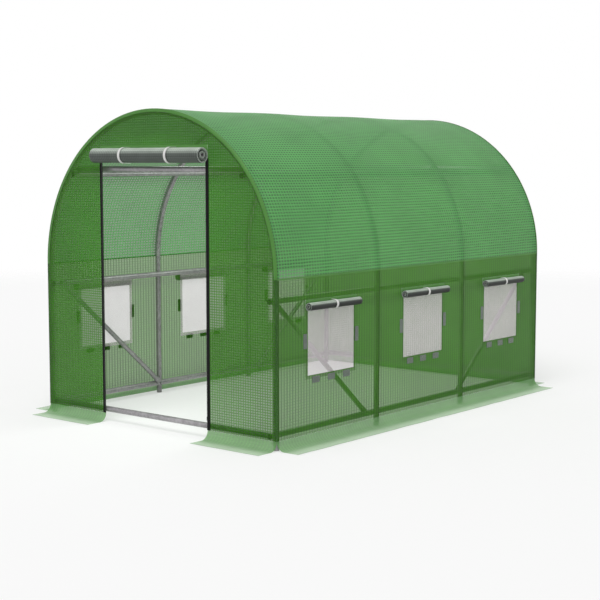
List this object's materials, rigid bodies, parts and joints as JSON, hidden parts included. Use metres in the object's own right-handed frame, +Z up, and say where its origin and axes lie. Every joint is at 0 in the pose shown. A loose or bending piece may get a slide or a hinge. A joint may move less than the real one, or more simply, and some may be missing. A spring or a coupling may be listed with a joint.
{
  "type": "polytunnel greenhouse",
  "caption": "Walk-in polytunnel greenhouse: tube hoops with rails and braces under a green woven film cover, with a rolled-up door, netted windows and a ground skirt.",
  "frame": {"origin": "ground level, under the middle of the tunnel", "axes": "+Z up; +Y along the tunnel away from the door; +X to the right seen from the door end"},
  "size_m": [2.32, 3.32, 2],
  "materials": {
    "galvanised_tube": "satin",
    "wall_film": "satin",
    "roof_film": "satin",
    "skirt_film": "satin",
    "rolled_flap": "satin",
    "white_tie": "matte",
    "black_zip": "satin",
    "window_net": "matte",
    "grey_tab": "matte"
  },
  "bodies": {
    "root": {"front_hoop_arch": "galvanised_tube", "front_hoop_legs": "galvanised_tube", "second_hoop_arch": "galvanised_tube", "second_hoop_legs": "galvanised_tube", "third_hoop_arch": "galvanised_tube", "third_hoop_legs": "galvanised_tube", "rear_hoop_arch": "galvanised_tube", "rear_hoop_legs": "galvanised_tube", "left_base_rail": "galvanised_tube", "left_mid_rail": "galvanised_tube", "left_shoulder_purlin": "galvanised_tube", "left_front_brace": "galvanised_tube", "left_rear_brace": "galvanised_tube", "left_side_wall": "wall_film", "left_skirt": "skirt_film", "front_left_skirt": "skirt_film", "front_wall_left": "wall_film", "left_window_nets": "window_net", "left_window_rolls": "rolled_flap", "right_base_rail": "galvanised_tube", "right_mid_rail": "galvanised_tube", "right_shoulder_purlin": "galvanised_tube", "right_front_brace": "galvanised_tube", "right_rear_brace": "galvanised_tube", "right_side_wall": "wall_film", "right_skirt": "skirt_film", "front_right_skirt": "skirt_film", "front_wall_right": "wall_film", "right_window_nets": "window_net", "right_window_rolls": "rolled_flap", "front_base_bar": "galvanised_tube", "front_header": "galvanised_tube", "rear_base_bar": "galvanised_tube", "rear_header": "galvanised_tube", "roof_cover": "roof_film", "front_wall_top": "wall_film", "rear_wall": "wall_film", "rear_skirt": "skirt_film", "door_roll": "rolled_flap", "door_roll_bar": "galvanised_tube", "door_ties": "white_tie", "door_zips": "black_zip", "window_roll_ties": "white_tie", "window_tabs": "grey_tab"}
  },
  "joints": []
}
